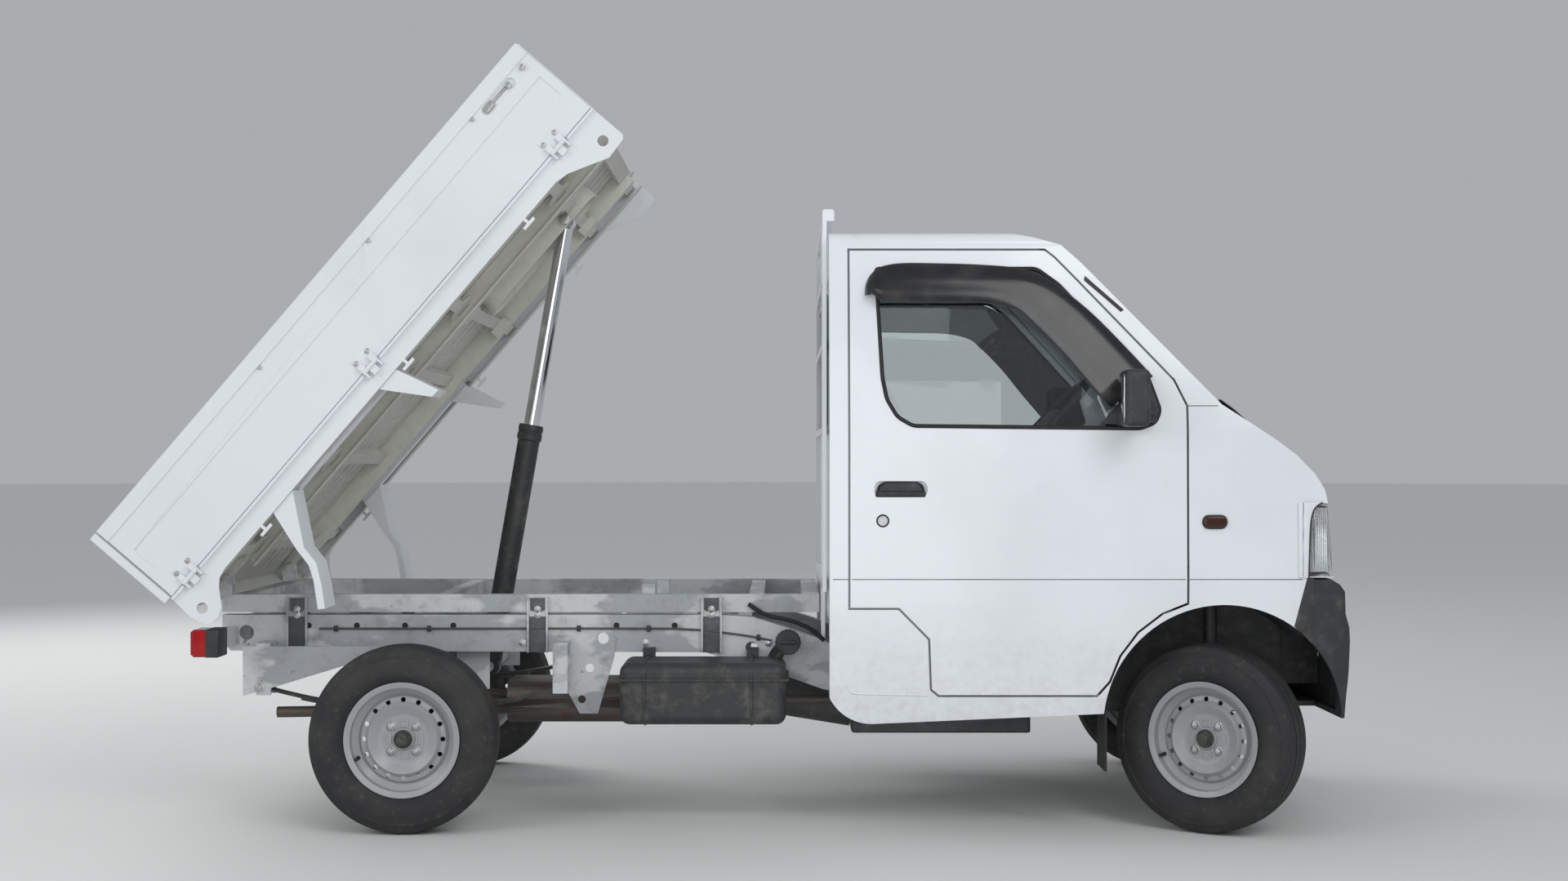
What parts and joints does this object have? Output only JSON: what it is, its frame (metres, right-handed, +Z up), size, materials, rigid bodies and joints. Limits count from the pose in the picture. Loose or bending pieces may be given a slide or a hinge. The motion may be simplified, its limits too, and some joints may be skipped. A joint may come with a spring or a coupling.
{
  "type": "kei dump truck",
  "caption": "Small cab-over truck with its tipping bed raised on a hydraulic ram, opening doors, drop gates and steered front wheels.",
  "frame": {"origin": "on the ground, centred between the ends and sides of the truck's bounding box with the bed raised", "axes": "+X towards the truck's front, +Y towards its left side, +Z up"},
  "size_m": [3.6364, 1.768, 2.271],
  "materials": {
    "cab_paint": "gloss",
    "bed_paint": "satin",
    "frame_paint": "matt",
    "chassis_black": "satin",
    "black_plastic": "matt",
    "wheel_silver": "satin",
    "tyre_rubber": "matt",
    "window_glass": "gloss",
    "lamp_lens": "gloss",
    "tail_lens": "gloss",
    "seat_cloth": "matt",
    "engine_iron": "matt",
    "axle_iron": "matt",
    "pipe_steel": "matt",
    "rod_chrome": "gloss"
  },
  "bodies": {
    "chassis": {"chassis_frame": "frame_paint", "bed_subframe": "frame_paint", "cab_shell": "cab_paint", "front_panel": "cab_paint", "cab_glass": "window_glass", "headlamps": "lamp_lens", "front_bumper": "black_plastic", "door_hinges": "cab_paint", "seats": "seat_cloth", "dashboard": "black_plastic", "steering_column": "chassis_black", "cab_guard": "cab_paint", "rear_axle": "axle_iron", "leaf_springs": "chassis_black", "engine_block": "engine_iron", "driveline": "engine_iron", "exhaust": "pipe_steel", "fuel_tank": "chassis_black", "front_suspension": "chassis_black", "rear_bar": "chassis_black", "tail_lamps": "tail_lens", "mudflaps": "black_plastic"},
    "door_right": {"door_right": "cab_paint", "door_glass_right": "window_glass", "mirror_right": "black_plastic"},
    "door_left": {"door_left": "cab_paint", "door_glass_left": "window_glass", "mirror_left": "black_plastic"},
    "knuckle_right": {"knuckle_right": "axle_iron"},
    "knuckle_left": {"knuckle_left": "axle_iron"},
    "steering_wheel": {"steering_wheel": "black_plastic"},
    "wheel_front_right": {"rim_front_right": "wheel_silver", "tyre_front_right": "tyre_rubber"},
    "wheel_front_left": {"rim_front_left": "wheel_silver", "tyre_front_left": "tyre_rubber"},
    "wheel_rear_right": {"rim_rear_right": "wheel_silver", "tyre_rear_right": "tyre_rubber"},
    "wheel_rear_left": {"rim_rear_left": "wheel_silver", "tyre_rear_left": "tyre_rubber"},
    "bed": {"bed_floor": "bed_paint", "bed_underframe": "bed_paint", "bed_front_panel": "bed_paint", "bed_mudguards": "black_plastic"},
    "gate_right": {"gate_right": "bed_paint"},
    "gate_left": {"gate_left": "bed_paint"},
    "tailgate": {"tailgate": "bed_paint"},
    "ram_barrel": {"ram_barrel": "chassis_black"},
    "ram_rod": {"ram_rod": "rod_chrome"}
  },
  "joints": [
    {"name": "door_right_hinge", "type": "hinge", "parent": "chassis", "child": "door_right", "pos_m": [1.289, -0.72497, 0.95], "axis": [0, 0.0185, 0.9998], "range_deg": [0, 65]},
    {"name": "door_left_hinge", "type": "hinge", "parent": "chassis", "child": "door_left", "pos_m": [1.289, 0.72497, 0.95], "axis": [0, 0.0185, -0.9998], "range_deg": [0, 65]},
    {"name": "steer_right", "type": "hinge", "parent": "chassis", "child": "knuckle_right", "pos_m": [1.423, -0.6, 0.271], "axis": [0, 0, 1], "range_deg": [0, 68]},
    {"name": "steer_left", "type": "hinge", "parent": "chassis", "child": "knuckle_left", "pos_m": [1.423, 0.6, 0.271], "axis": [0, 0, 1], "range_deg": [0, 68]},
    {"name": "steering_wheel_turn", "type": "hinge", "parent": "chassis", "child": "steering_wheel", "pos_m": [0.959, -0.35, 1.18], "axis": [-0.7193, 0, 0.6947], "range_deg": [0, 1088]},
    {"name": "wheel_front_right_spin", "type": "hinge", "parent": "knuckle_right", "child": "wheel_front_right", "pos_m": [1.39784, -0.63731, 0.271], "axis": [0.5592, 0.829, 0], "continuous": true},
    {"name": "wheel_front_left_spin", "type": "hinge", "parent": "knuckle_left", "child": "wheel_front_left", "pos_m": [1.44816, 0.63731, 0.271], "axis": [0.5592, 0.829, 0], "continuous": true},
    {"name": "wheel_rear_right_spin", "type": "hinge", "parent": "chassis", "child": "wheel_rear_right", "pos_m": [-0.927, -0.645, 0.271], "axis": [0, 1, 0], "continuous": true},
    {"name": "wheel_rear_left_spin", "type": "hinge", "parent": "chassis", "child": "wheel_rear_left", "pos_m": [-0.927, 0.645, 0.271], "axis": [0, 1, 0], "continuous": true},
    {"name": "bed_tilt", "type": "hinge", "parent": "chassis", "child": "bed", "pos_m": [-1.512, 0, 0.707], "axis": [0, 1, 0], "range_deg": [0, 49.4]},
    {"name": "gate_right_hinge", "type": "hinge", "parent": "bed", "child": "gate_right", "pos_m": [-0.98075, -0.714, 1.37906], "axis": [0.6508, 0, 0.7593], "range_deg": [0, 175]},
    {"name": "gate_left_hinge", "type": "hinge", "parent": "bed", "child": "gate_left", "pos_m": [-0.98075, 0.714, 1.37906], "axis": [-0.6508, 0, -0.7593], "range_deg": [0, 175]},
    {"name": "tailgate_hinge", "type": "hinge", "parent": "bed", "child": "tailgate", "pos_m": [-1.58814, 0, 0.66426], "axis": [0, -1, 0], "range_deg": [0, 128]},
    {"name": "ram_swing", "type": "hinge", "parent": "chassis", "child": "ram_barrel", "pos_m": [-0.7763, 0, 0.413], "axis": [0, 1, 0], "range_deg": [0, 59.74]},
    {"name": "ram_slide", "type": "slide", "parent": "ram_barrel", "child": "ram_rod", "axis": [0.1703, 0, 0.9854], "range_m": [-0.6328, 0]}
  ],
  "couplings": [
    {"joint": "steer_left", "follows": "steer_right", "ratio": 1},
    {"joint": "steering_wheel_turn", "follows": "steer_right", "ratio": 16},
    {"joint": "ram_swing", "follows": "bed_tilt", "ratio": 1.2092},
    {"joint": "ram_slide", "follows": "bed_tilt", "m_per_rad": -0.7338}
  ]
}
